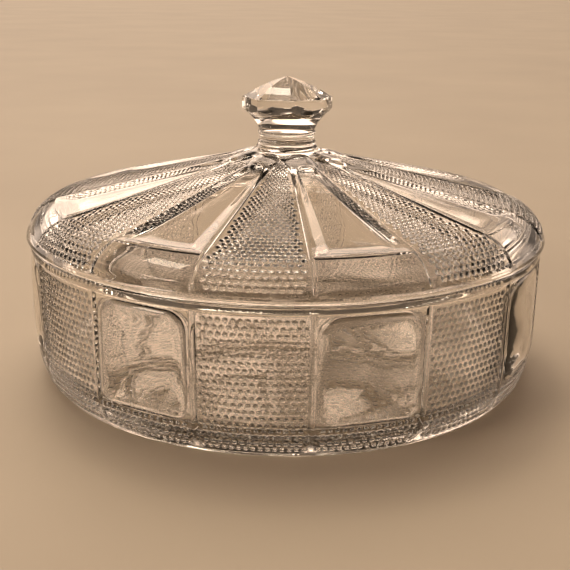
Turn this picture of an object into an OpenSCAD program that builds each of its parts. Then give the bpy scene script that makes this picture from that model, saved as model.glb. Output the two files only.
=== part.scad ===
// Covered candy dish in clear pressed glass: a round bowl with sixteen panels, every other
// one stippled, and a low conical lid that carries the same panels up to a faceted knob.
// Origin: centre of the foot, on the table. +Z is up. A stippled panel faces -Y.

/* [Bowl] */
// Outer diameter over the band at the rim
bowl_d = 170; // [150:1:190]
// Height from the table to the rim
bowl_h = 45.7; // [40:0.1:55]
// Thickness of the side at the mouth
wall = 3.2; // [2.8:0.1:4]
// Taper of the inside, which lets the plunger out of the mould
draft = 2.5; // [1:0.5:4]
// Thickness of the floor
floor_t = 5.5; // [4.5:0.1:7]
// Rounding between floor and side, inside
floor_fillet = 7; // [4:0.5:9]
// Height of the rounded heel under the upright side
heel_h = 18; // [14:0.5:20]
// Radius of the heel's curve
heel_r = 45; // [40:1:60]
// Height of the plain band at the rim
rim_band_h = 2.4; // [1.5:0.1:4]
// Width of the ring that the bowl stands on
foot_w = 5; // [3:0.5:8]
// Depth of the hollow inside that ring
foot_recess = 1; // [0.5:0.1:2]
// Small bevel that breaks the glass's edges
edge = 0.5; // [0.3:0.1:0.8]

/* [Panels] */
// Panels round the dish, every other one stippled
panels = 16; // [12:4:20]
// How far bands and ribs stand out from the stippled ground
relief = 0.6; // [0.4:0.1:1]
// Width of the rib between two panels
rib_w = 2.2; // [1.4:0.1:3]
// Height of the ledge under the plain panels
ledge_z = 10.5; // [8:0.5:14]
// Gap between a plain panel and its ribs and rim band
pillow_gap = 0.7; // [0.4:0.1:1.5]
// Sideways curve of a plain panel, tighter than the bowl's own
pillow_r = 60; // [50:1:68]
// Upright curve of a plain panel
pillow_arc = 400; // [250:10:800]
// How far the crown of a plain panel stands out past the rim band
pillow_crown = 0.3; // [0.1:0.1:0.5]
// Rounding of a plain panel's upper corners
pillow_top_r = 6; // [3:0.5:8]
// Rounding of a plain panel's lower corners
pillow_low_r = 3; // [1.5:0.5:5]

/* [Lid] */
// How far the lid reaches past the bowl's rim all round
lid_over = 1; // [0.5:0.1:2]
// Thickness of the glass in the lid's cone
lid_t = 3.6; // [3:0.1:4.5]
// Fall of the cone towards its shoulder, in degrees
lid_slope = 13.2; // [10:0.1:18]
// Radius of the rounded shoulder
shoulder_r = 12.7; // [10:0.1:15]
// How far the shoulder's centre lies under the bowl's rim
shoulder_drop = 1.6; // [0.5:0.1:3]
// Height of the bevel along the lid's lower edge
lid_bevel_h = 1.3; // [0.8:0.1:2]
// Height of the plain ring along the lid's lower edge, bevel included
lid_band_h = 2.6; // [2.2:0.1:4]
// Depth of the stippled ground under the lid's ribs and plain panels
stipple_depth = 0.5; // [0.3:0.1:0.8]
// Depth of a plain panel's flute at the shoulder
flute_depth = 1.2; // [0.6:0.1:1.6]
// How far the locating flange reaches into the bowl
flange_depth = 3.2; // [2:0.1:5]
// Thickness of the flange
flange_t = 2.6; // [2:0.1:3.5]
// Clearance all round between the flange and the bowl's mouth
lid_clear = 0.8; // [0.5:0.1:1.2]
// Rounding inside the lid's shoulder
lid_fillet = 7; // [5:0.5:9]

/* [Knob] */
// Sides of the knob's belt
knob_sides = 8; // [6:2:10]
// Diameter of the belt across its corners
belt_d = 29.9; // [28:0.1:32]
// Height of the belt at its corners
belt_h = 4; // [3:0.1:6]
// Height of the faceted crown over the belt
crown_h = 6.4; // [5:0.1:8]
// Slope of the crown's faces where they meet, in degrees
crown_tip = 15; // [8:1:18]
// Width of the flat round the foot of the crown
crown_step = 0.6; // [0.3:0.1:1]
// Diameter of the neck
neck_d = 18.2; // [16:0.1:20]
// Height of the straight neck
neck_h = 3.7; // [2:0.1:6]
// Radius of the hollow flare from the neck up to the belt
flare_r = 7.8; // [7.6:0.1:9]
// Radius of the hollow curve from the neck down to the collar
collar_r = 4.4; // [3.5:0.1:5]
// Thickness of the two rings round the neck
ring_d = 1.4; // [1:0.1:2]
// Radius to which the plain lobes of the collar reach over the lid
lobe_reach = 21; // [19:0.5:24]
// Radius of the rounded end of a lobe
lobe_r = 4.6; // [3.5:0.1:5]
// Rise of a lobe over the lid
lobe_rise = 0.8; // [0.5:0.1:1.2]

/* [Hidden] */
$fn = 128;

glass = [0.86, 0.84, 0.78, 0.55];
step = 360 / panels;                  // angle from one panel to the next
facing = -90;                         // a stippled panel's middle faces -Y
past = 1;                             // how far a cut runs past the glass

rim_r = bowl_d / 2;
ground_r = rim_r - relief;            // stippled ground of the upright side
mouth_r = ground_r - wall;            // inside of the rim
foot_r = ground_r - heel_r + sqrt(heel_r * heel_r - heel_h * heel_h);

lid_r = rim_r + lid_over;
seat_z = bowl_h;                      // the lid rests on the bowl's rim
flange_r = mouth_r - lid_clear;
flange_in_r = flange_r - flange_t;

// Centre of the shoulder's arc, which runs into the bevel below and the cone above
shoulder_z = seat_z - shoulder_drop;
bevel_top = seat_z + lid_bevel_h;
shoulder_x = lid_r - sqrt(pow(shoulder_r, 2) - pow(bevel_top - shoulder_z, 2));

// The cone's edge, and the height of its surface at any radius
cone_r = shoulder_x + shoulder_r * sin(lid_slope);
cone_z = shoulder_z + shoulder_r * cos(lid_slope);
function cone_at(r, inset = 0) = cone_z + (cone_r - r) * tan(lid_slope) - inset / cos(lid_slope);

// Stack of the knob, from the collar up
neck_r = neck_d / 2;
collar_x = neck_r + collar_r * 0.6;
collar_z = cone_at(collar_x);
neck_z = collar_z + collar_r * 0.7;
flare_z = neck_z + neck_h;
belt_r = belt_d / 2;
belt_z = flare_z + sqrt(pow(flare_r, 2) - pow(neck_r + flare_r - belt_r, 2));
crown_z = belt_z + belt_h;
tip_z = crown_z + crown_h;

// ---- Bowl ----

// Outline of the outside: an upright side on a rounded heel, out from the stippled ground
module bowl_outline(out = 0) {
    heel_x = ground_r - heel_r;
    intersection() {
        square([ground_r + out, bowl_h]);
        union() {
            square([heel_x, bowl_h]);
            translate([0, heel_h]) square([ground_r + out, bowl_h]);
            translate([heel_x, heel_h]) circle(heel_r + out);
        }
    }
}

module rim_band() {
    low_z = bowl_h - rim_band_h;
    rotate_extrude()
        polygon([[mouth_r - past, low_z - relief], [ground_r, low_z - relief], [rim_r, low_z],
                 [rim_r, bowl_h - edge], [rim_r - edge, bowl_h], [mouth_r - past, bowl_h]]);
}

// The inside is a tapered wall with a round corner down to the floor
module bowl_inside() {
    center_z = floor_t + floor_fillet;
    center_x = mouth_r - (bowl_h - center_z) * tan(draft) - floor_fillet / cos(draft);
    tangent = [center_x + floor_fillet * cos(draft), center_z - floor_fillet * sin(draft)];
    rotate_extrude() {
        polygon([[0, floor_t], [center_x, floor_t], [center_x, center_z], tangent,
                 [mouth_r, bowl_h], [mouth_r + past * tan(draft), bowl_h + past],
                 [0, bowl_h + past]]);
        translate([center_x, center_z]) intersection() {
            circle(floor_fillet);
            translate([0, -floor_fillet]) square(floor_fillet);
        }
    }
}

// Ring of the foot, with a shallow hollow inside it
module foot_hollow() {
    inner_r = foot_r - foot_w;
    translate([0, 0, -past])
        cylinder(r1 = inner_r + past, r2 = inner_r - foot_recess, h = foot_recess + past);
}

// One rib on each seam, from the foot to the rim band
module bowl_ribs() {
    intersection() {
        rotate_extrude() bowl_outline(relief);
        for (i = [0:panels - 1])
            rotate(facing + (i + 0.5) * step)
                translate([foot_r - heel_h, -rib_w / 2, 0])
                    cube([heel_h * 2, rib_w, bowl_h]);
    }
}

// Face of a plain panel: square below for the ledge's line, rounder above
module pillow_face(width, low, high) {
    top_y = high - pillow_top_r;
    top_x = width / 2 - pillow_top_r;
    low_x = width / 2 - pillow_low_r;
    for (side = [-1, 1]) {
        translate([side * top_x, top_y]) circle(pillow_top_r);
        translate([side * low_x, low + pillow_low_r]) circle(pillow_low_r);
    }
    translate([-top_x, low]) square([2 * top_x, high - low]);
    translate([-low_x, low]) square([2 * low_x, top_y - low]);
    translate([-width / 2, low + pillow_low_r])
        square([width, top_y - low - pillow_low_r]);
}

// A plain panel on +X: a cushion-like lens that stands out from the side
module pillow() {
    width = 2 * (ground_r * tan(step / 2) * cos(step / 2) - rib_w / 2 - pillow_gap);
    high = bowl_h - rim_band_h - relief - pillow_gap;
    middle = (ledge_z + high) / 2;
    intersection() {
        translate([rim_r + pillow_crown - pillow_r, 0, 0])
            rotate_extrude() intersection() {
                square([pillow_r, bowl_h]);
                translate([pillow_r - pillow_arc, middle]) circle(pillow_arc, $fn = 360);
            }
        translate([mouth_r - wall, 0, 0])
            rotate([90, 0, 90]) linear_extrude(wall * 3) pillow_face(width, ledge_z, high);
    }
}

module bowl() {
    color(glass) difference() {
        union() {
            rotate_extrude() bowl_outline();
            rim_band();
            bowl_ribs();
            for (i = [0:panels / 2 - 1])
                rotate(facing + (2 * i + 1) * step) pillow();
        }
        bowl_inside();
        foot_hollow();
    }
}

// ---- Lid ----

// Outline of the top: bevel, rounded shoulder and cone, let in by inset
module lid_outline(inset = 0) {
    arc = shoulder_r - inset;
    tangent_x = shoulder_x + arc * sin(lid_slope);
    tangent_z = shoulder_z + arc * cos(lid_slope);
    intersection() {
        union() {
            polygon([[0, seat_z], [shoulder_x, seat_z], [tangent_x, tangent_z],
                     [0, cone_at(0, inset)]]);
            translate([shoulder_x, shoulder_z]) circle(arc);
        }
        polygon([[0, seat_z], [rim_r, seat_z], [lid_r, bevel_top], [lid_r, cone_z],
                 [0, cone_at(0) + past]]);
    }
}

// Wedge seen from above, centred on +X, whose sides lie a given margin outside the seams
module wedge(margin) {
    back = margin / sin(step / 2);
    far = lid_r + past;
    far_w = (far + back) * tan(step / 2);
    polygon([[-back, 0], [far, far_w], [far, -far_w]]);
}

// Plain panels with the ribs beside them, and the plain ring at the edge
module lid_raised() {
    intersection() {
        rotate_extrude() lid_outline();
        union() {
            translate([0, 0, seat_z]) cylinder(r = lid_r + past, h = lid_band_h);
            for (i = [0:panels / 2 - 1])
                rotate(facing + (2 * i + 1) * step)
                    linear_extrude(tip_z) wedge(rib_w / 2);
        }
    }
}

// A flute on +X is cut by a cone whose point lies where the ribs on both sides would meet
module flute() {
    half_w = cone_r * tan(step / 2) - rib_w / 2;
    tip_r = rib_w / 2 / tan(step / 2);
    run = (cone_r - tip_r) / cos(lid_slope);
    cut_angle = atan((half_w * half_w / (2 * flute_depth) + flute_depth / 2) / run);
    rise = cut_angle - lid_slope - atan(flute_depth / run);
    start = neck_r / 4 * cos(cut_angle);
    reach = run * 1.2 * cos(cut_angle);
    intersection() {
        translate([tip_r, 0, cone_at(tip_r)]) rotate([0, 90 - rise, 0]) translate([0, 0, start])
            cylinder(r1 = start * tan(cut_angle), r2 = reach * tan(cut_angle), h = reach - start);
        linear_extrude(tip_z) intersection() {
            wedge(0);
            circle(cone_r - past);
        }
    }
}

// The flange drops into the bowl's mouth and keeps the lid from sliding off
module flange() {
    translate([0, 0, seat_z - flange_depth]) {
        cylinder(r1 = flange_r - edge, r2 = flange_r, h = edge);
        translate([0, 0, edge]) cylinder(r = flange_r, h = flange_depth);
    }
}

// Hollow underside: the flange's bore, a round corner and a cone under the knob
module lid_inside() {
    low_z = seat_z - flange_depth - past;
    center_x = flange_in_r - lid_fillet;
    center_z = cone_at(center_x, lid_t + lid_fillet);
    tangent = [center_x + lid_fillet * sin(lid_slope), center_z + lid_fillet * cos(lid_slope)];
    rotate_extrude() {
        polygon([[0, low_z], [flange_in_r, low_z], [flange_in_r, center_z],
                 [center_x, center_z], tangent, [collar_x, cone_at(collar_x, lid_t)],
                 [0, cone_at(collar_x, lid_t)]]);
        translate([center_x, center_z]) intersection() {
            circle(lid_fillet);
            square(lid_fillet);
        }
    }
}

// Scalloped collar: a round middle, with a lobe over each plain panel
module collar() {
    intersection() {
        rotate_extrude()
            polygon([[0, cone_at(0, lid_t / 2)], [lobe_reach + past, cone_at(lobe_reach, lid_t / 2)],
                     [lobe_reach + past, cone_at(lobe_reach + past, -lobe_rise)],
                     [0, cone_at(0, -lobe_rise)]]);
        linear_extrude(tip_z) {
            circle(lobe_reach - 1.5 * lobe_r);
            for (i = [0:panels / 2 - 1])
                rotate(facing + (2 * i + 1) * step) {
                    translate([lobe_reach - lobe_r, 0]) circle(lobe_r);
                    translate([0, -lobe_r]) square([lobe_reach - lobe_r, 2 * lobe_r]);
                }
        }
    }
}

// Stem: hollow curve out of the collar, neck with two rings, hollow flare to the belt
module stem() {
    rotate_extrude() {
        difference() {
            translate([0, collar_z - collar_r / 2])
                square([neck_r + collar_r, neck_z - collar_z + collar_r / 2]);
            translate([neck_r + collar_r, neck_z]) circle(collar_r);
        }
        translate([0, neck_z]) square([neck_r, neck_h]);
        for (z = [neck_z, flare_z + ring_d / 2])
            translate([neck_r - ring_d / 10, z]) circle(ring_d / 2);
    }
}

// Head: the flare is cut to the belt's flat sides, which leaves a scalloped lower edge
module knob_head() {
    intersection() {
        rotate_extrude() difference() {
            translate([0, flare_z]) square([neck_r + flare_r, crown_z - flare_z]);
            translate([neck_r + flare_r, flare_z]) circle(flare_r);
        }
        translate([0, 0, flare_z - past])
            rotate(facing + step / 2) cylinder(r = belt_r, h = crown_z, $fn = knob_sides);
    }
}

// Crown: each face is part of a lying cylinder, and all of them meet at the tip
module crown() {
    foot_x = belt_r * cos(180 / knob_sides) - crown_step;
    chord = norm([foot_x, crown_h]);
    turn = 2 * (atan(crown_h / foot_x) - crown_tip);
    face_r = chord / (2 * sin(turn / 2));
    intersection() {
        translate([0, 0, crown_z - edge]) cylinder(r = belt_r * 1.5, h = crown_h + past);
        intersection_for (i = [0:knob_sides - 1])
            rotate(facing + step / 2 + (i + 0.5) * 360 / knob_sides)
                translate([-face_r * sin(crown_tip), 0, tip_z - face_r * cos(crown_tip)])
                    rotate([90, 0, 0]) cylinder(r = face_r, h = belt_d * 2, center = true);
    }
}

module lid() {
    color(glass) {
        difference() {
            union() {
                rotate_extrude() lid_outline(stipple_depth);
                lid_raised();
                flange();
            }
            for (i = [0:panels / 2 - 1])
                rotate(facing + (2 * i + 1) * step) flute();
            lid_inside();
        }
        collar();
        stem();
        knob_head();
        crown();
    }
}

bowl();
lid();
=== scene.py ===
import math
import bpy
from mathutils import Matrix, Vector


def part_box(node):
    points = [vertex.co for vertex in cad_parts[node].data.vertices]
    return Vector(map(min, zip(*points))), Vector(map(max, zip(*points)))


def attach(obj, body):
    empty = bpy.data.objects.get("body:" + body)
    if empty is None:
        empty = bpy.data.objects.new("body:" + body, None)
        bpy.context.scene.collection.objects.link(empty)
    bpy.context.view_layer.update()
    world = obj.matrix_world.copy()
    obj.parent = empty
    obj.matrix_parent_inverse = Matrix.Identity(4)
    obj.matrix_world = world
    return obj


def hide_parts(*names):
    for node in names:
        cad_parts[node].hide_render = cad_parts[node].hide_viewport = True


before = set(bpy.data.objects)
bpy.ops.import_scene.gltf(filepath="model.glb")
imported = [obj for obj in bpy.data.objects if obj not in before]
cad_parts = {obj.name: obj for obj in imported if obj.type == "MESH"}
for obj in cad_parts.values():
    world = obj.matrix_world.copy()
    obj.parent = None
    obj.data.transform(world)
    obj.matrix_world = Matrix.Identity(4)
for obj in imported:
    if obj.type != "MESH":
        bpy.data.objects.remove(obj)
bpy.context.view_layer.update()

# ---- Camera ----
# A short telephoto view from a little above, level with the knob, with the dish almost filling
# the square frame. The camera leans by less than a degree, as a hand-held one does.
mm = 0.001
look_at = Vector((0, 0, 24.8 * mm))
view_side, view_up, view_roll = 5.85, 17.57, 0.71
view_reach = 0.346
frame_px, focal_px = 570, 993


def towards(side, up):
    """The direction from the dish to a place so many degrees to the right and up, seen from the front."""
    a, e = math.radians(side), math.radians(up)
    return Vector((math.sin(a) * math.cos(e), -math.cos(a) * math.cos(e), math.sin(e)))


view_back = towards(view_side, view_up)
lean = Matrix.Rotation(math.radians(view_roll), 3, "Z").to_quaternion()
bpy.ops.object.camera_add(location=look_at + view_back * view_reach)
camera = bpy.context.object
camera.name = "camera"
camera.rotation_mode = "QUATERNION"
camera.rotation_quaternion = (-view_back).to_track_quat("-Z", "Y") @ lean
camera.data.sensor_width = 36
camera.data.lens = focal_px / frame_px * camera.data.sensor_width
camera.data.clip_start, camera.data.clip_end = 0.01, 100
bpy.context.scene.camera = camera

# ---- Floor, lamps and sky ----
# A wide pale floor in warm light: a soft window lamp at the left and two suns from above. The sky
# is bright in bands behind and beside the dish and dim elsewhere, which gives clear glass its
# pale and dark lines.
bpy.ops.object.select_all(action="DESELECT")
bpy.ops.mesh.primitive_circle_add(vertices=96, radius=9, fill_type="TRIFAN", location=(0, 0, 0))
floor = bpy.context.object
floor.name = "floor"


class Shade:
    """A socket of a material's node tree: + - and * on it add the Math node they stand for."""
    def __init__(self, tree, socket):
        self.tree, self.socket = tree, socket

    def add(self, kind, settings=None, out=0, **sockets):
        node = self.tree.nodes.new("ShaderNode" + kind)
        for name, value in (settings or {}).items():
            if name == "stops":
                ramp = node.color_ramp.elements
                while len(ramp) < len(value):
                    ramp.new(0.5)
                for stop, (at, colour) in zip(ramp, value):
                    stop.position, stop.color = at, (*colour, 1)
            else:
                setattr(node, name, value)
        for name, value in sockets.items():
            numbered = name[0] == "n" and name[1:].isdigit()
            key = int(name[1:]) if numbered else name.replace("_", " ")
            if isinstance(value, Shade):
                self.tree.links.new(value.socket, node.inputs[key])
            elif value is not None:
                node.inputs[key].default_value = value
        return Shade(self.tree, node.outputs[out])

    def maths(self, operation, other=None, swap=False):
        first, second = (other, self) if swap else (self, other)
        return self.add("Math", {"operation": operation}, n0=first, n1=second)

    def __add__(self, other): return self.maths("ADD", other)
    def __radd__(self, other): return self.maths("ADD", other)
    def __sub__(self, other): return self.maths("SUBTRACT", other)
    def __rsub__(self, other): return self.maths("SUBTRACT", other, swap=True)
    def __mul__(self, other): return self.maths("MULTIPLY", other)
    def __rmul__(self, other): return self.maths("MULTIPLY", other)


def new_finish(name):
    """An empty material, with a starting point for its nodes and its surface output."""
    finish = bpy.data.materials.new(name)
    finish.use_nodes = True
    tree = finish.node_tree
    tree.nodes.clear()
    surface = tree.nodes.new("ShaderNodeOutputMaterial").inputs["Surface"]
    return finish, Shade(tree, None), surface


matt_paper, start, surface = new_finish("matt_paper")
place = start.add("TexCoord", out=3)
mottle = start.add("TexNoise", {"noise_dimensions": "3D"}, Vector=place, Scale=6.0, Detail=3.0)
darker, lighter = (0.47, 0.38, 0.285), (0.515, 0.42, 0.315)
tone = start.add("ValToRGB", {"stops": [(0.3, darker), (0.7, lighter)]}, Fac=mottle)
paper = start.add("BsdfPrincipled", Base_Color=tone, Roughness=0.7)
matt_paper.node_tree.links.new(paper.socket, surface)
floor.data.materials.append(matt_paper)

sky = bpy.data.worlds.new("sky")
bpy.context.scene.world = sky
sky.use_nodes = True
sky.node_tree.nodes.clear()
start = Shade(sky.node_tree, None)
way = start.add("TexCoord", out=0)
right, back, up = (start.add("SeparateXYZ", out=i, Vector=way) for i in range(3))


def over(value, start_at, end_at):
    """Goes softly from 0 to 1 where a socket's value passes from one number to another."""
    soft = {"interpolation_type": "SMOOTHSTEP"}
    return value.add("MapRange", soft, Value=value, From_Min=start_at, From_Max=end_at)


# The wall behind is dim at the foot, bright at the left above that, brightest over it all along,
# and dim again up to its top. The walls at the sides are bright below.
low, middle = over(up, 0.14, 0.19), over(up, 0.33, 0.37)
high, top = over(up, 0.50, 0.55), over(up, 0.72, 0.78)
behind, beside = over(back, 0.6, 0.75), over(right.maths("ABSOLUTE"), 0.6, 0.75)
left_half = 1 - over(right, -0.1, 0.1)
window_band = (0.5 + 2.1 * left_half) * low * (1 - middle)
back_wall = 0.3 * (1 - low) + window_band + 2.4 * middle * (1 - high) + 0.3 * high * (1 - top)
side_walls = 1.8 * (1 - middle)
everywhere, sky_strength = 0.06, 1.12
glow = sky_strength * (behind * back_wall + beside * side_walls + everywhere)
air = start.add("Background", Color=(1.0, 0.775, 0.61, 1), Strength=glow)
world_out = sky.node_tree.nodes.new("ShaderNodeOutputWorld")
sky.node_tree.links.new(air.socket, world_out.inputs["Surface"])

lamp_colour = (1.0, 0.86, 0.70)
to_window, window_reach, window_width, window_watts = towards(-50, 24), 1.3, 0.4, 5
bpy.ops.object.light_add(type="AREA", location=to_window * window_reach)
window = bpy.context.object
window.name = "window"
window.rotation_euler = (-to_window).to_track_quat("-Z", "Y").to_euler()
window.data.size, window.data.energy, window.data.color = window_width, window_watts, lamp_colour

# Both suns shine from behind at the left. The glass mirrors only the small one.
sun_turn = (math.radians(-25), math.radians(-12), 0)
for name, strength, width, mirrored in (("ceiling", 1.75, 50, False), ("skylight", 0.3, 12, True)):
    bpy.ops.object.light_add(type="SUN", location=(0, 0, 1), rotation=sun_turn)
    sun = bpy.context.object
    sun.name = name
    sun.data.angle, sun.data.energy, sun.data.color = math.radians(width), strength, lamp_colour
    sun.data.cycles.use_multiple_importance_sampling = mirrored

# ---- Bowl body ----
# The bowl is pressed in one shot of clear soda glass between an iron mould and a plunger:
# an upright side on a rounded heel, a thick floor, and a ring to stand on underneath.
_, bowl_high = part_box("bowl")
rim_r = bowl_high.x / mm
bowl_h = bowl_high.z / mm
panels = 16
step = 2 * math.pi / panels
front = -math.pi / 2
relief, wall = 0.6, 3.2
ground_r = rim_r - relief
mouth_r = ground_r - wall
heel_h, heel_r = 18, 45
heel_x = ground_r - heel_r
foot_r = heel_x + math.sqrt(heel_r ** 2 - heel_h ** 2)
base_low, base_high = 1.0, 5.5
corner_r = 7
inside_tilt = math.radians(2.5)
corner_z = base_high + corner_r
corner_x = mouth_r - (bowl_h - corner_z) * math.tan(inside_tilt) - corner_r / math.cos(inside_tilt)
rim_band = 3.1


def arc(center, radius, start_deg, end_deg, steps):
    """Points of an arc round a center, in mm, from one angle to another."""
    turns = [math.radians(start_deg + (end_deg - start_deg) * i / steps) for i in range(steps + 1)]
    return [(center[0] + radius * math.cos(t), center[1] + radius * math.sin(t)) for t in turns]


def work_on(piece):
    """Selects one piece alone, in object mode."""
    if bpy.context.mode != "OBJECT":
        bpy.ops.object.mode_set(mode="OBJECT")
    bpy.ops.object.select_all(action="DESELECT")
    piece.select_set(True)
    bpy.context.view_layer.objects.active = piece


def settle(piece):
    """Merges doubles, turns the faces outwards, and puts the piece's place in its mesh."""
    work_on(piece)
    bpy.ops.object.transform_apply(location=True, rotation=True, scale=True)
    bpy.ops.object.mode_set(mode="EDIT")
    bpy.ops.mesh.select_all(action="SELECT")
    bpy.ops.mesh.remove_doubles(threshold=1e-6)
    bpy.ops.mesh.normals_make_consistent(inside=False)
    bpy.ops.object.mode_set(mode="OBJECT")
    return piece


def turned(name, outline, sides=192):
    """A solid turned from its outline, a chain of (radius, height) points in mm from cap to cap."""
    (r, z), *rest = outline
    bpy.ops.object.select_all(action="DESELECT")
    bpy.ops.mesh.primitive_circle_add(vertices=sides, radius=r * mm, fill_type="NGON",
        location=(0, 0, z * mm))
    piece = bpy.context.object
    piece.name = name
    bpy.ops.object.transform_apply(location=True)
    bpy.ops.object.mode_set(mode="EDIT")
    bpy.ops.mesh.select_all(action="SELECT")
    for next_r, next_z in rest:
        rise, spread = (next_z - z) * mm, next_r / r
        bpy.ops.mesh.extrude_region_move(TRANSFORM_OT_translate={"value": (0, 0, rise)})
        bpy.ops.transform.resize(value=(spread, spread, 1), center_override=(0, 0, 0))
        r, z = next_r, next_z
    bpy.ops.object.mode_set(mode="OBJECT")
    return settle(piece)


def fuse(body, tool, how="UNION"):
    """Presses a tool into the body, or cuts it away, and takes the tool off."""
    work_on(body)
    press = body.modifiers.new("press", "BOOLEAN")
    press.operation, press.solver, press.object = how, "MANIFOLD", tool
    bpy.ops.object.modifier_apply(modifier=press.name)
    bpy.data.objects.remove(tool)
    return body


def ring_of(piece, first, count, turn):
    """Copies a piece round the dish's axis, the first at an angle in radians, and joins them."""
    copies = []
    for i in range(count):
        copy = piece.copy()
        copy.data = piece.data.copy()
        copy.data.transform(Matrix.Rotation(first + i * turn, 4, "Z"))
        bpy.context.scene.collection.objects.link(copy)
        copies.append(copy)
    bpy.data.objects.remove(piece)
    bpy.ops.object.select_all(action="DESELECT")
    for copy in copies:
        copy.select_set(True)
    bpy.context.view_layer.objects.active = copies[0]
    bpy.ops.object.join()
    return bpy.context.object


heel_line = arc((heel_x, heel_h), heel_r, -math.degrees(math.asin(heel_h / heel_r)), 0, 12)
foot_ring = [(30, base_low), (foot_r - 6.3, base_low), (foot_r - 5.7, 0.8), (foot_r - 5.1, 0.15),
    (foot_r - 4.6, 0.0), (foot_r - 0.5, 0.0)]
outside = [*heel_line[1:-1], (ground_r, heel_h), (ground_r, 26), (ground_r, 34),
    (ground_r, bowl_h - rim_band)]
rim = [(rim_r - 0.42, bowl_h - 2.85), (rim_r - 0.12, bowl_h - 2.5), (rim_r, bowl_h - 2.1),
    (rim_r, bowl_h - 0.6), (rim_r - 0.15, bowl_h - 0.2), (rim_r - 0.5, bowl_h),
    (mouth_r + 0.4, bowl_h), (mouth_r + 0.1, bowl_h - 0.15), (mouth_r - 0.02, bowl_h - 0.5)]
tapered = [(mouth_r - down * math.tan(inside_tilt), bowl_h - down) for down in (10, 20)]
inside = [*tapered, *arc((corner_x, corner_z), corner_r, -2.5, -90, 10), (60, base_high), (30, base_high)]
bowl_glass = turned("bowl_glass", [*foot_ring, *outside, *rim, *inside])


# Clear soda glass with a faint warm tint, fire-polished to a gloss. Pressed glass is never quite
# flat: slow ripples from the mould run through its plain faces.
clear_glass, start, surface = new_finish("clear_glass")
place = start.add("TexCoord", out=3)
solid = {"noise_dimensions": "3D"}
ripple = start.add("TexNoise", solid, Vector=place, Scale=70.0, Detail=2.0, Roughness=0.4)
fine = start.add("TexNoise", solid, Vector=place, Scale=420.0, Detail=2.0, Roughness=0.5)
wavy = start.add("Bump", Strength=0.13, Distance=0.8 * mm, Height=ripple + 0.03 * fine)
warm_white, soda_glass = (0.98, 0.95, 0.905, 1), 1.52
glass = start.add("BsdfPrincipled", Base_Color=warm_white, Roughness=0.02, IOR=soda_glass,
    Transmission_Weight=1.0, Normal=wavy)
clear_glass.node_tree.links.new(glass.socket, surface)


def polished(piece, body):
    settle(piece)
    sharpest = math.radians(48)
    bpy.ops.object.shade_smooth_by_angle(angle=sharpest, keep_sharp_edges=True)
    piece.data.materials.clear()
    piece.data.materials.append(clear_glass)
    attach(piece, body)
    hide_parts(body)
    print(piece.name, sum(len(p.vertices) - 2 for p in piece.data.polygons), "triangles")


# ---- Bowl ribs ----
# A half-round rib stands on each of the sixteen seams, cut as a groove into the mould, and runs
# from the foot to the plain band at the rim.
rib_w = 2.2


def half_round(name, line, width, height):
    """A half-round bar in the plane of X and Z that stands out from a line by its height."""
    bend = (width ** 2 / 4 + height ** 2) / (2 * height)
    sunk = bend - height
    path = bpy.data.curves.new(name, "CURVE")
    path.dimensions = "3D"
    path.bevel_depth, path.bevel_resolution, path.use_fill_caps = bend * mm, 3, True
    spline = path.splines.new("POLY")
    spline.points.add(len(line) - 1)
    before, after = [line[0]] + line[:-1], line[1:] + [line[-1]]
    for point, (x, z), (ax, az), (bx, bz) in zip(spline.points, line, before, after):
        along = Vector((bx - ax, bz - az)).normalized()
        point.co = ((x - along.y * sunk) * mm, 0, (z + along.x * sunk) * mm, 1)
    bar = bpy.data.objects.new(name, path)
    bpy.context.scene.collection.objects.link(bar)
    work_on(bar)
    bpy.ops.object.convert(target="MESH")
    return settle(bpy.context.object)


rib_foot = [(heel_line[1][0] - 1.2, 1.4), (heel_line[2][0] - 0.3, heel_line[2][1])]
rib_line = [*rib_foot, *heel_line[3:], (ground_r, 30), (ground_r, bowl_h - 2.6)]
bowl_rib = half_round("bowl_rib", rib_line, rib_w, relief)
fuse(bowl_glass, ring_of(bowl_rib, front + step / 2, panels, step))

# ---- Bowl's plain panels ----
# Every other panel is a clear cushion, ground smooth into the mould: a crisp ledge below,
# a rounded border all round, and a face that is rounder than the bowl itself.
cushion_low, cushion_high = 10.5, bowl_h - 3.7
cushion_h = cushion_high - cushion_low
cushion_w = 2 * (ground_r * math.sin(step / 2) - rib_w / 2 - 0.7)
cushion_mid = (cushion_low + cushion_high) / 2
across_r, upright_r, crown_out = 60, 400, 0.3
upper_corner, lower_corner = 6.0, 3.6


def cushion_face(y, z):
    """How far the crown of the cushion lies from the dish's axis, in mm."""
    belly = across_r - (upright_r - math.sqrt(upright_r ** 2 - (z - cushion_mid) ** 2))
    return rim_r + crown_out - across_r + math.sqrt(belly ** 2 - y ** 2)


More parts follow.
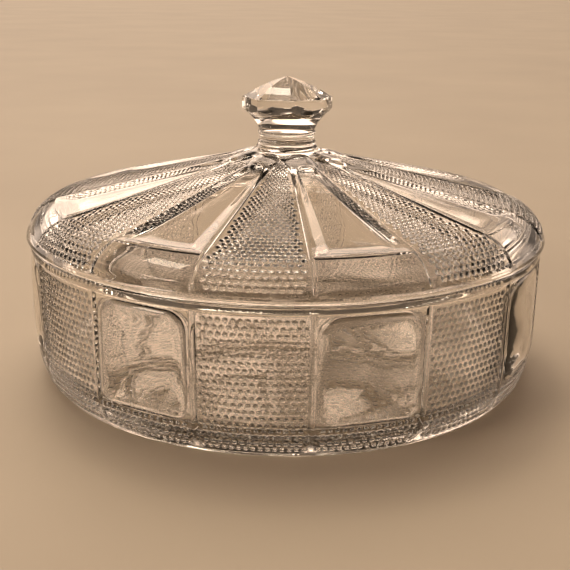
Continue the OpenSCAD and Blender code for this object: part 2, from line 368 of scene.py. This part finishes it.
def cushion(name, wide, tall, steps):
    """A cushion on +X with rounded corners, raised in steps of (inward, rise) and laid on its face."""
    bpy.ops.object.select_all(action="DESELECT")
    bpy.ops.mesh.primitive_plane_add(size=1, location=(0, 0, 0))
    piece = bpy.context.object
    piece.name = name
    for corner in piece.data.vertices:
        corner.co = Vector((corner.co.x * wide, corner.co.y * tall, 0))
    for upper, radius in ((True, upper_corner), (False, lower_corner)):
        bpy.ops.object.mode_set(mode="EDIT")
        bpy.ops.mesh.select_all(action="DESELECT")
        bpy.ops.object.mode_set(mode="OBJECT")
        for corner in piece.data.vertices:
            corner.select = (corner.co.y > 0) == upper and abs(corner.co.x) > wide * 0.499
        bpy.ops.object.mode_set(mode="EDIT")
        bpy.ops.mesh.bevel(affect="VERTICES", offset=radius, segments=7)
        bpy.ops.object.mode_set(mode="OBJECT")
    bpy.ops.object.mode_set(mode="EDIT")
    bpy.ops.mesh.select_all(action="SELECT")
    for inward, rise in steps:
        drawn_in = (1 - 2 * inward / wide, 1 - 2 * inward / tall, 1)
        bpy.ops.mesh.extrude_region_move(TRANSFORM_OT_translate={"value": (0, 0, rise)})
        bpy.ops.transform.resize(value=drawn_in, center_override=(0, 0, 0))
        wide, tall = wide - 2 * inward, tall - 2 * inward
    bpy.ops.object.mode_set(mode="OBJECT")
    top = max(v.co.z for v in piece.data.vertices)
    for v in piece.data.vertices:
        y, z, drop = v.co.x, v.co.y + cushion_mid, top - v.co.z
        v.co = Vector((cushion_face(y, z) - drop, y, z)) * mm
    return settle(piece)


groove_depth, groove_lip = 0.45, 1.0
groove = cushion("groove", cushion_w + 0.9, cushion_h + 0.5, [(0, 0.0), (-0.3, 2.0), (0, 1.0)])
for v in groove.data.vertices:
    reach = math.hypot(v.co.x, v.co.y)
    bottom = reach < (ground_r - 0.2) * mm
    pull = (ground_r + (-groove_depth if bottom else groove_lip)) * mm / reach
    v.co.x, v.co.y = v.co.x * pull, v.co.y * pull
fuse(bowl_glass, ring_of(settle(groove), front + step, panels // 2, 2 * step), "DIFFERENCE")
rounded = [(0.1, 0.34), (0.3, 0.32), (0.5, 0.22), (0.7, 0.14), (0.9, 0.08), (1.3, 0.05), (2.2, 0.02)]
pad = cushion("pad", cushion_w, cushion_h, [(0, 3.0), *rounded, (2.6, 0.0), (2.4, 0.0)])
fuse(bowl_glass, ring_of(pad, front + step, panels // 2, 2 * step))

# ---- Bowl's stipple ----
# The other panels are covered with small round beads in staggered rows, drilled one by one
# into the mould. They run on over the heel, and a narrow band at the foot stays smooth.
bead_r, bead_sunk = 1.05, 0.33
bead_pitch, row_pitch, bead_size = 2.07, 2.02, 0.88
foot_band = 3.2


def row_line(line, start, stop, pitch):
    """Places along a line of (radius, height), from start to stop, each with its outward direction
    in radians. The pitch is a length, or gives one for a radius."""
    found, gone, due = [], 0.0, start
    for (ax, az), (bx, bz) in zip(line, line[1:]):
        length = math.hypot(bx - ax, bz - az)
        while due <= gone + length and due <= stop:
            share = (due - gone) / length
            r, z = ax + (bx - ax) * share, az + (bz - az) * share
            found.append((r, z, math.atan2(-(bx - ax), bz - az)))
            due += pitch(r) if callable(pitch) else pitch
        gone += length
    return found


def stippled(name, beads, sides=8, rings=4):
    """One panel of beads, each given as radius, height, outward direction, angle and size."""
    bpy.ops.object.select_all(action="DESELECT")
    bpy.ops.mesh.primitive_uv_sphere_add(segments=sides, ring_count=rings, radius=bead_r,
        location=(0, 0, 0))
    bead = bpy.context.object
    corners, faces = [], []
    for r, z, out, turn, size in beads:
        upright = Matrix.Rotation(turn, 4, "Z") @ Matrix.Translation((r, 0, z))
        seat = upright @ Matrix.Rotation(math.pi / 2 - out, 4, "Y") @ Matrix.Scale(size, 4)
        first = len(corners)
        corners += [seat @ (v.co - Vector((0, 0, bead_sunk))) * mm for v in bead.data.vertices]
        faces += [[first + i for i in face.vertices] for face in bead.data.polygons]
    piece = bpy.data.objects.new(name, bpy.data.meshes.new(name))
    piece.data.from_pydata(corners, [], faces)
    bpy.context.scene.collection.objects.link(piece)
    bpy.data.objects.remove(bead)
    return piece


bowl_line = [*heel_line, (ground_r, bowl_h - rim_band)]
heel_length = sum(math.dist(a, b) for a, b in zip(heel_line, heel_line[1:]))
last_row = heel_length + bowl_h - rim_band - heel_h - 1.2
beads_across, under_ledge = 15, cushion_low - 1.1
beads = []
for row, (r, z, out) in enumerate(row_line(bowl_line, foot_band, last_row, row_pitch)):
    count = beads_across - row % 2
    for i in range(count):
        turn = front + (i - (count - 1) / 2) * bead_pitch / ground_r
        beads.append((r, z, out, turn, bead_size))
        if z < under_ledge:
            beads.append((r, z, out, turn + step, bead_size))
fuse(bowl_glass, ring_of(stippled("bowl_beads", beads), 0, panels // 2, 2 * step))

# ---- Bowl's underside ----
# Inside the ring that it stands on, the base is stippled too, in circles round its middle, and
# this is the fine texture that shows through the plain panels.
circle_pitch, base_bead_pitch = 2.2, 2.6
first_circle, last_circle = 3, 31
downwards = -math.pi / 2
beads = []
for row in range(first_circle, last_circle + 1):
    r = row * circle_pitch
    count = round(2 * math.pi * r / base_bead_pitch / (panels // 2))
    for i in range(count):
        beads.append((r, base_low, downwards, (i + row % 2 / 2) * step * 2 / count, 1.0))
fuse(bowl_glass, ring_of(stippled("base_beads", beads, sides=5, rings=3), 0, panels // 2, 2 * step))
polished(bowl_glass, "bowl")

# ---- Lid body ----
# The lid is pressed in its own mould: a low cone that falls to a rounded shoulder, a bevelled
# edge that overhangs the rim by a millimetre, and a flange that drops inside the bowl's mouth.
_, lid_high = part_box("lid")
lid_r = lid_high.x / mm
slope_deg = 13.2
slope = math.radians(slope_deg)
lid_wall, flange_gap, flange_wall, flange_drop = 3.6, 0.8, 2.6, 3.2
shoulder_r, shoulder_z = 12.7, bowl_h - 1.6
bevel_top = bowl_h + 1.3
shoulder_x = lid_r - math.sqrt(shoulder_r ** 2 - (bevel_top - shoulder_z) ** 2)
cone_r = shoulder_x + shoulder_r * math.sin(slope)
cone_z = shoulder_z + shoulder_r * math.cos(slope)
lid_ground = 0.5


def cone_at(r, inset=0.0):
    """Height of the lid's cone at a radius, let in by an inset, in mm."""
    return cone_z + (cone_r - r) * math.tan(slope) - inset / math.cos(slope)


flange_r = mouth_r - flange_gap
under_x = flange_r - flange_wall - corner_r
under_z = cone_at(under_x, lid_wall + corner_r)
shoulder_line = arc((shoulder_x, shoulder_z), shoulder_r - lid_ground, 20, 90 - slope_deg, 12)
band_turn = math.degrees(math.asin((bowl_h + 2.6 - shoulder_z) / shoulder_r))
middle_r = 11.74
middle_z = cone_at(middle_r, lid_wall)
underneath = [(8, middle_z), (middle_r, middle_z), (30, cone_at(30, lid_wall)),
    (50, cone_at(50, lid_wall)), *arc((under_x, under_z), corner_r, 90 - slope_deg, 0, 8)]
flange = [(flange_r - flange_wall, bowl_h - 3.0), (flange_r - 2.3, bowl_h - flange_drop),
    (flange_r - 0.5, bowl_h - flange_drop), (flange_r - 0.1, bowl_h - 3.05), (flange_r, bowl_h - 2.7),
    (flange_r, bowl_h - 0.3), (flange_r + 0.3, bowl_h)]
bevel_and_band = [(rim_r - 0.2, bowl_h), (rim_r + 0.1, bowl_h + 0.1), (lid_r - 0.15, bevel_top - 0.2),
    (lid_r - 0.01, bevel_top + 0.1), *arc((shoulder_x, shoulder_z), shoulder_r, 15, band_turn, 3)]
shoulder = [p for p in shoulder_line if p[1] > bowl_h + 2.9]
cone = [(r, cone_at(r, lid_ground)) for r in (60, 40, 20, 8)]
lid_glass = turned("lid_glass", [*underneath, *flange, *bevel_and_band, *shoulder, *cone])

# ---- Lid's plain panels ----
# Eight smooth wedges rise to the level of the ribs and are let in again as shallow hollows with a
# bevelled border, like a picture frame. They fade out under the knob's collar.


def draped(piece):
    """Lays a piece that was made flat, in mm over the table, onto the lid's cone."""
    for v in piece.data.vertices:
        v.co = Vector((v.co.x, v.co.y, v.co.z + cone_at(math.hypot(v.co.x, v.co.y)))) * mm
    return settle(piece)


def wedge(name, rings):
    """A wedge on +X of rings from below to above: first and last radius, gap to both seams, share of
    the width between these gaps, height."""
    bpy.ops.object.select_all(action="DESELECT")
    bpy.ops.mesh.primitive_circle_add(vertices=48, radius=1, fill_type="NGON", location=(0, 0, 0))
    piece = bpy.context.object
    piece.name = name
    bpy.ops.object.mode_set(mode="EDIT")
    bpy.ops.mesh.select_all(action="SELECT")
    for i in range(len(rings) - 1):
        bpy.ops.mesh.extrude_region_move(TRANSFORM_OT_translate={"value": (0, 0, 1)})
    bpy.ops.object.mode_set(mode="OBJECT")
    for v in piece.data.vertices:
        near, far, gap, wide, rise = rings[round(v.co.z)]
        turn = math.atan2(v.co.y, v.co.x) / math.pi * 24
        side, along = (1 if turn > 0 else -1), abs(turn)
        # On each side 8 corners go to the far edge, 12 along the seam and 4 to the near edge.
        if along <= 8:
            share, r = along / 8, far
        elif along <= 20:
            share, r = 1, far + (near - far) * (along - 8) / 12
        else:
            share, r = (24 - along) / 4, near
        turn_at = max(step / 2 - math.asin(gap / r), 0.004) * wide * share * side
        v.co = Vector((r * math.cos(turn_at), r * math.sin(turn_at), rise))
    return piece


plate_near, plate_gap, border = 13, 0.3, 1.05
plate = draped(wedge("plate", [(plate_near, cone_r, plate_gap, 1, rise) for rise in (-2.0, 0.0)]))
fuse(lid_glass, ring_of(plate, front + step, panels // 2, 2 * step))
hollow_floor = [(19 + 30 * out, 69.4 - 12 * out, border, 0.64 - 0.5 * out, -1.22 - 0.08 * out)
    for out in [1 - i / 10 for i in range(11)]]
hollow_bevel = [(18.4, 69.9, border, 0.665, -1.18), (17.4, 70.9, border, 0.71, -1.05),
    (15.6, 72.8, border, 0.82, -0.66), (13.8, 74.5, border, 0.93, -0.24), (13.2, 75.1, border, 1, 0.02),
    (plate_near, 75.6, 0.75, 1, 0.6)]
hollow = draped(wedge("hollow", [*hollow_floor, *hollow_bevel]))
fuse(lid_glass, ring_of(hollow, front + step, panels // 2, 2 * step), "DIFFERENCE")

# ---- Lid's ribs ----
# A half-round rib, cut as a groove into the lid's mould, runs down each of the sixteen seams, from
# the collar over the shoulder to the plain edge.
lid_line = [(12, cone_at(12, lid_ground)), (40, cone_at(40, lid_ground)), *shoulder_line[::-1]]
lid_rib_w, rib_end = 1.7, bowl_h + 2.2
lid_rib = half_round("lid_rib", [(r, z) for r, z in lid_line if z > rib_end][::-1], lid_rib_w, lid_ground)
fuse(lid_glass, ring_of(lid_rib, front + step / 2, panels, step))

# ---- Lid's stipple ----
# The wedges between the hollows are pressed with the bowl's round beads. The beads shrink
# towards the knob, so that each wedge keeps its rows full.
lowest_row, innermost_row = bowl_h + 3.6, 17
row_share, widest_row, beside_rib = 0.92, 1.95, 1.05
full_size_pitch = 2.16


def lid_pitch(r):
    """Distance between the lid's beads at a radius, in mm."""
    return 0.85 + 0.0167 * r


lid_rows = row_line(lid_line[::-1], 0, math.inf, lambda r: min(row_share * lid_pitch(r), widest_row))
full_rows = [place for place in lid_rows if place[1] > lowest_row and place[0] > innermost_row]
beads = []
for row, (r, z, out) in enumerate(full_rows):
    pitch = lid_pitch(r)
    room = 2 * (r * math.sin(step / 2) - beside_rib)
    count = max(int(room / pitch), 1)
    if (count - row) % 2:
        count -= 1
    for i in range(count):
        turn = front + (i - (count - 1) / 2) * pitch / r
        beads.append((r, z, out, turn, pitch / full_size_pitch))
fuse(lid_glass, ring_of(stippled("lid_beads", beads, rings=5), 0, panels // 2, 2 * step))

# ---- Collar ----
# A scalloped collar spreads from the knob's neck. It is eight smooth domes in the lid's mould,
# one over the top of each plain panel.
lobe_out, lobe_sunk = 13.6, 0.7
lobe_half = (8.8, 5.5, 1.6)
bpy.ops.object.select_all(action="DESELECT")
bpy.ops.mesh.primitive_uv_sphere_add(segments=40, ring_count=20, radius=1,
    location=(lobe_out, 0, -lobe_sunk))
lobe = bpy.context.object
lobe.name = "lobe"
lobe.scale = lobe_half
bpy.ops.object.transform_apply(location=True, scale=True)
lobes = ring_of(draped(lobe), front + step, panels // 2, 2 * step)

# ---- Knob ----
# The knob is part of the lid's mould: a round neck with two fine rings flares into an eight-sided
# belt with a scalloped lower edge, and eight curved faces rise from it to a point.
neck_r, collar_r, flare_r, belt_r = 9.1, 4.4, 7.8, 14.95
neck_h, belt_h, crown_h = 3.7, 4, 6.4
collar_x = neck_r + collar_r * 0.6
neck_z = cone_at(collar_x) + collar_r * 0.7
flare_z = neck_z + neck_h
belt_z = flare_z + math.sqrt(flare_r ** 2 - (neck_r + flare_r - belt_r) ** 2)
crown_z = belt_z + belt_h
tip_z = crown_z + crown_h
ring_r, fillet_r = 0.6, 4.6
flats, flat_turn = 8, step / 2
soft_edge, ridge = 0.22, math.radians(6)
neck_foot = [(14.2, cone_at(14) - 2.4), (14.2, cone_at(14) - 0.5),
    *arc((14, cone_at(12) + fillet_r), fillet_r, -92, -160, 10)]
neck = turned("neck", [*neck_foot, *arc((neck_r, neck_z + 0.5), ring_r, -60, 60, 6),
    (neck_r + 0.15, neck_z + 1.5), (neck_r + 0.1, flare_z - 0.7),
    *arc((neck_r - 0.1, flare_z), ring_r, -60, 60, 6), (neck_r - 0.5, flare_z + 1.2)], 96)
# The flare leaves the neck upright and opens faster and faster towards the belt.
flare = [(neck_r + 0.124 * h ** 1.8, flare_z - ring_r + h) for h in [0.36 * i for i in range(25)]]
head = turned("head", [(neck_r - 1, flare_z - 0.8), *flare, (belt_r + 1, belt_z + 0.8),
    (belt_r + 1, crown_z), (6, crown_z)])
bpy.ops.object.select_all(action="DESELECT")
bpy.ops.mesh.primitive_cylinder_add(vertices=flats, radius=belt_r * mm, depth=0.04,
    location=(0, 0, belt_z * mm))
prism = settle(bpy.context.object)
prism.data.transform(Matrix.Rotation(flat_turn, 4, "Z"))
fuse(head, prism, "INTERSECT")

# Each face of the crown is the side of a wide cylinder that lies over the belt's flat.
foot_x = belt_r * math.cos(math.pi / flats) - 0.6
chord = math.hypot(foot_x, crown_h)
crown_tip = math.radians(15)
face_r = chord / (2 * math.sin(math.atan(crown_h / foot_x) - crown_tip))
face_middle = (-face_r * math.sin(crown_tip) * mm, 0, (tip_z - face_r * math.cos(crown_tip)) * mm)
crown = turned("crown", [(belt_r + 3, crown_z - 0.5), (belt_r + 3, tip_z + 1)], 32)
for i in range(flats):
    bpy.ops.object.select_all(action="DESELECT")
    bpy.ops.mesh.primitive_cylinder_add(vertices=240, radius=face_r * mm, depth=0.08, location=face_middle,
        rotation=(math.pi / 2, 0, 0))
    lying = settle(bpy.context.object)
    lying.data.transform(Matrix.Rotation((i + 0.5) * 2 * step + flat_turn, 4, "Z"))
    fuse(crown, lying, "INTERSECT")
bevel = head.modifiers.new("bevel", "BEVEL")
bevel.width, bevel.segments = soft_edge * mm, 2
bevel.limit_method, bevel.angle_limit = "ANGLE", math.radians(40)
work_on(head)
bpy.ops.object.modifier_apply(modifier="bevel")
knob = fuse(fuse(head, crown), neck)
for piece in (lobes, knob):
    fuse(lid_glass, piece)
polished(lid_glass, "lid")

# The eight ridges of the crown stay crisp, although they are blunter than the smoothed angle.
sides = {}
for face in lid_glass.data.polygons:
    if face.center.z > (crown_z - 0.1) * mm:
        for edge in face.edge_keys:
            sides.setdefault(edge, []).append(face.normal)
for edge in lid_glass.data.edges:
    pair = sides.get(edge.key, [])
    if len(pair) == 2 and pair[0].angle(pair[1], 0) > ridge:
        edge.use_edge_sharp = True

bpy.context.scene.view_settings.view_transform = "Standard"
